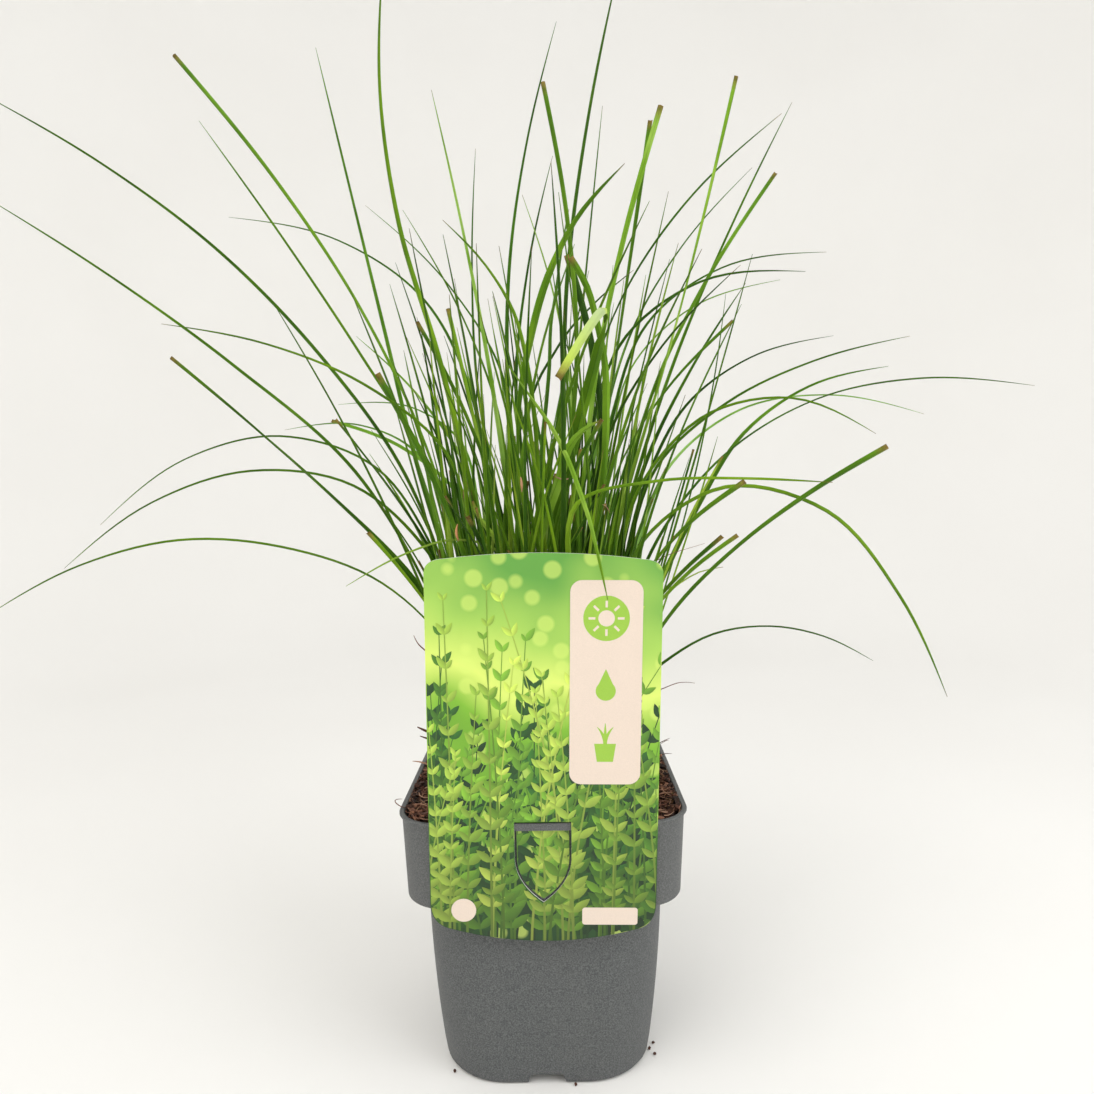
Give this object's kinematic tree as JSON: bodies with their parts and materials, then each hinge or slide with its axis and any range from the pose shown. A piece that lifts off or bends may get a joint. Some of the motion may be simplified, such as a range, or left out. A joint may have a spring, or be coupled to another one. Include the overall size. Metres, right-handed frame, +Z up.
{
  "type": "potted carex sedge",
  "caption": "Tufted evergreen sedge with long arching blades in a square tapered nursery pot, with a hooked plant label on the rim.",
  "frame": {"origin": "middle of the pot's flat underside, on the surface it stands on", "axes": "+Z up, the label on the pot's -Y side, +X to the right as the label is faced"},
  "size_m": [0.566, 0.3, 0.537],
  "materials": {
    "pot_plastic": "matt dark grey with a fine speckle",
    "potting_soil": "rough damp bark chips and coir",
    "label_card": "smooth printed sheet, light sheen",
    "leaf": "satin green leaf with fine long veins"
  },
  "bodies": {
    "root": {"pot": "pot_plastic", "soil": "potting_soil", "label": "label_card", "shoot_01": "leaf", "shoot_02": "leaf", "shoot_03": "leaf", "shoot_04": "leaf", "shoot_05": "leaf", "shoot_06": "leaf", "shoot_07": "leaf", "shoot_08": "leaf", "shoot_09": "leaf", "shoot_10": "leaf", "shoot_11": "leaf", "shoot_12": "leaf", "shoot_13": "leaf", "shoot_14": "leaf", "shoot_15": "leaf", "shoot_16": "leaf", "shoot_17": "leaf", "shoot_18": "leaf", "shoot_19": "leaf", "shoot_20": "leaf", "shoot_21": "leaf", "shoot_22": "leaf", "shoot_23": "leaf", "shoot_24": "leaf", "shoot_25": "leaf", "shoot_26": "leaf", "shoot_27": "leaf", "shoot_28": "leaf", "shoot_29": "leaf", "shoot_30": "leaf", "shoot_31": "leaf", "shoot_32": "leaf", "shoot_33": "leaf", "shoot_34": "leaf", "shoot_35": "leaf", "shoot_36": "leaf", "shoot_37": "leaf", "shoot_38": "leaf", "shoot_39": "leaf", "shoot_40": "leaf", "shoot_41": "leaf", "shoot_42": "leaf", "shoot_43": "leaf", "shoot_44": "leaf", "shoot_45": "leaf", "shoot_46": "leaf"}
  },
  "joints": []
}
